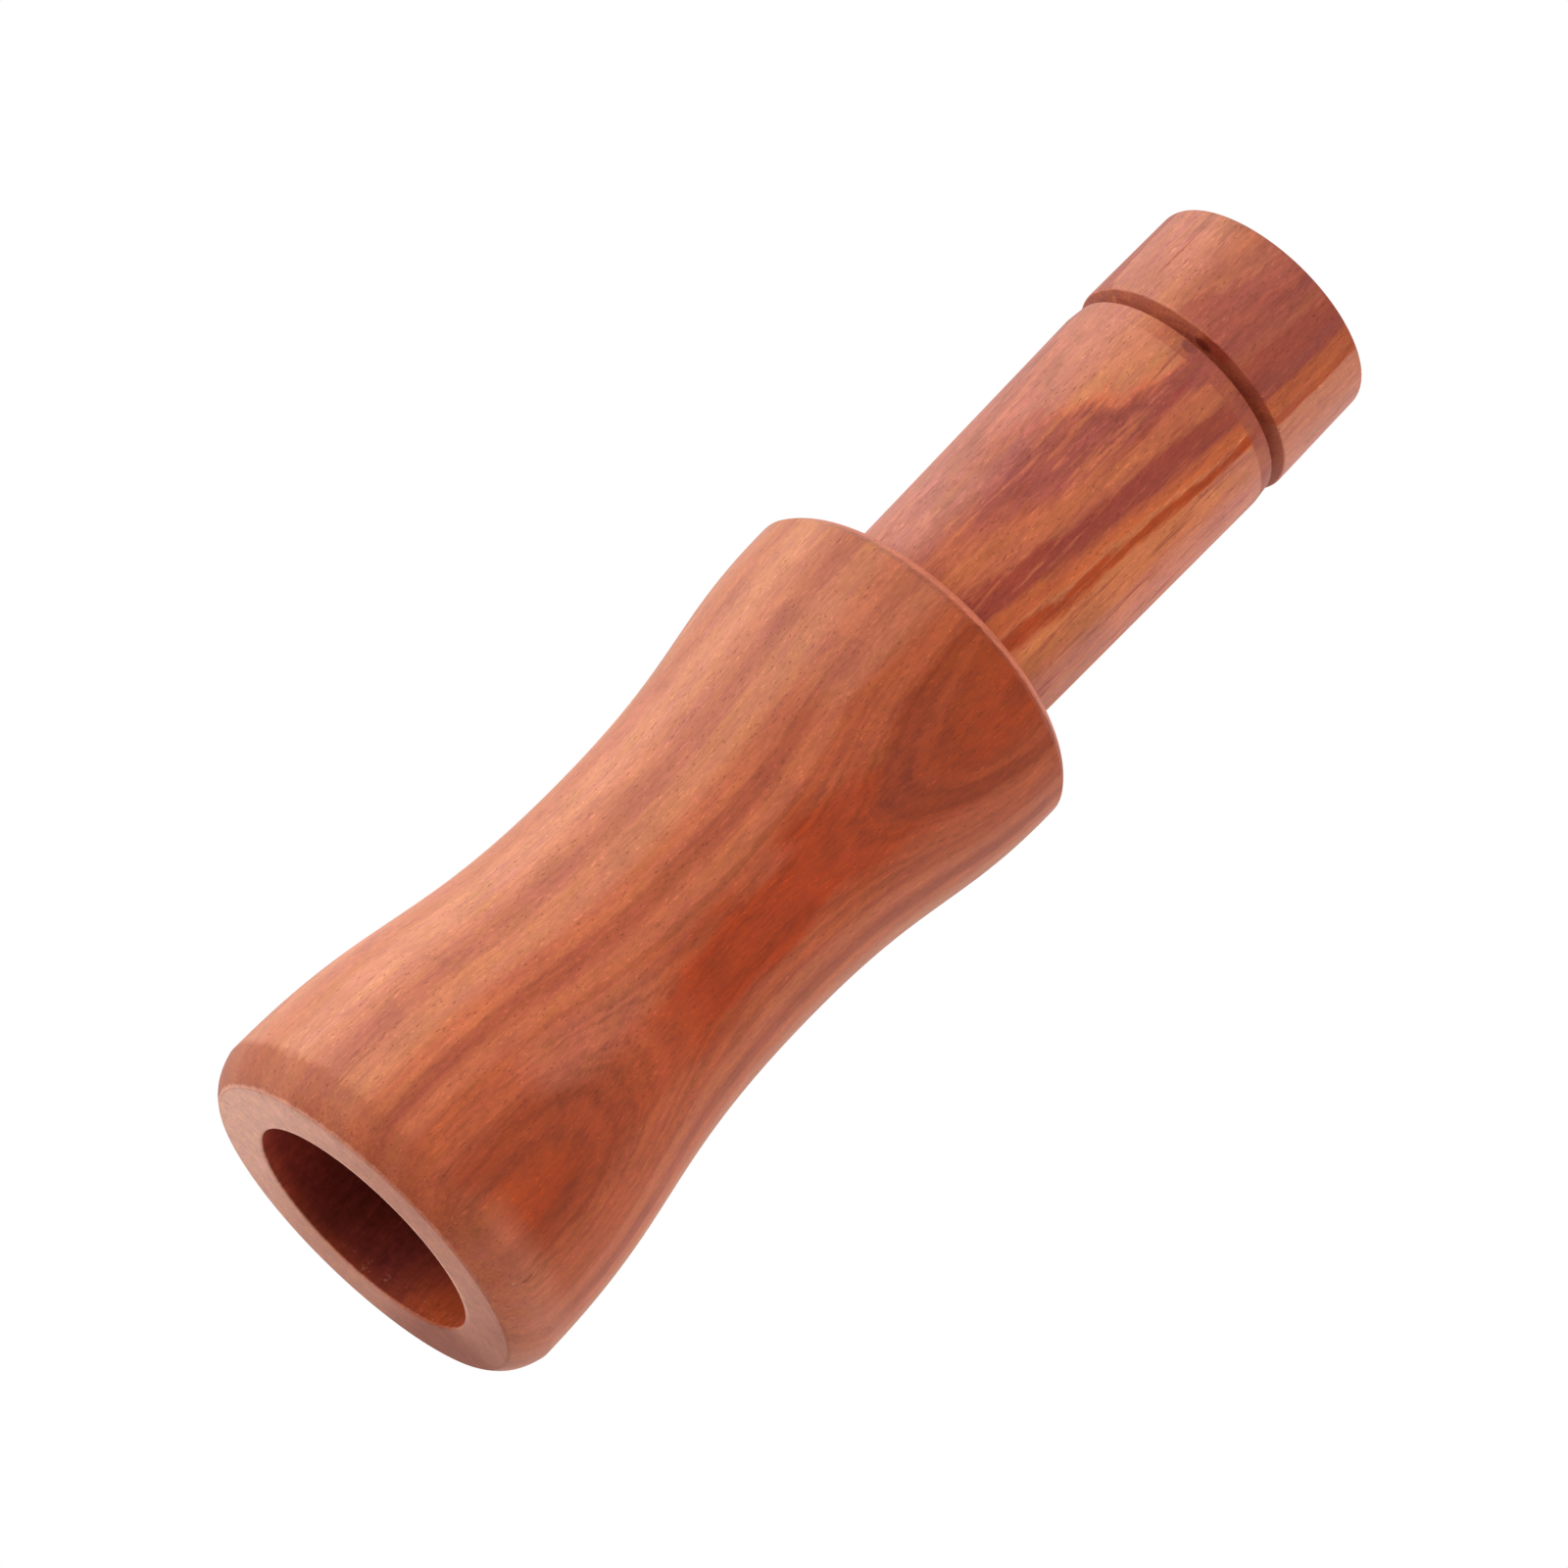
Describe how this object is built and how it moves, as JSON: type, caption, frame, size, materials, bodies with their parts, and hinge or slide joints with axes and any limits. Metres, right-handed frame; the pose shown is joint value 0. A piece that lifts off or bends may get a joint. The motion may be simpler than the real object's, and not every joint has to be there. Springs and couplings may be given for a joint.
{
  "type": "bird call",
  "caption": "Turned wooden bird call: waisted barrel with open mouth bore, pull-out insert with lanyard groove and flared exhaust, and a double-reed tone board inside.",
  "frame": {"origin": "centre of the flat ring round the mouth of the barrel, which is the face that the call stands on", "axes": "+Z along the call's axis from the mouth to the exhaust, +Y from the tone board towards the reeds and the wedge, +X across the reeds"},
  "size_m": [0.0353, 0.0352, 0.115],
  "materials": {
    "barrel_wood": "satin, oiled and lightly waxed rosewood-like timber",
    "insert_wood": "satin, streaked rosewood-like timber",
    "black_rubber": "smooth moulded nitrile",
    "board_plastic": "moulded, fine matt",
    "reed_film": "translucent film",
    "cork": "cut natural cork"
  },
  "bodies": {
    "barrel": {"barrel": "barrel_wood"},
    "o_rings": {"front_o_ring": "black_rubber", "rear_o_ring": "black_rubber"},
    "insert": {"insert": "insert_wood", "tone_board": "board_plastic", "wedge": "cork"},
    "lower_reed": {"lower_reed": "reed_film"},
    "upper_reed": {"upper_reed": "reed_film"}
  },
  "joints": [
    {"name": "insert_pull", "type": "slide", "parent": "barrel", "child": "o_rings", "axis": [0, 0, 1], "range_m": [0, 0.06]},
    {"name": "insert_twist", "type": "hinge", "parent": "o_rings", "child": "insert", "pos_m": [0, 0, 0.0697], "axis": [0, 0, 1], "continuous": true},
    {"name": "lower_reed_flex", "type": "hinge", "parent": "insert", "child": "lower_reed", "pos_m": [0, 0.0008, 0.0267], "axis": [-1, 0, 0], "range_deg": [-1, 2.7], "stiffness_Nm_per_rad": 0.002, "deforming": ["lower_reed"]},
    {"name": "upper_reed_flex", "type": "hinge", "parent": "insert", "child": "upper_reed", "pos_m": [0, 0.0011, 0.0267], "axis": [-1, 0, 0], "range_deg": [-1, 2.7], "stiffness_Nm_per_rad": 0.002, "deforming": ["upper_reed"]}
  ],
  "couplings": [
    {"joint": "upper_reed_flex", "follows": "lower_reed_flex", "ratio": 1}
  ]
}
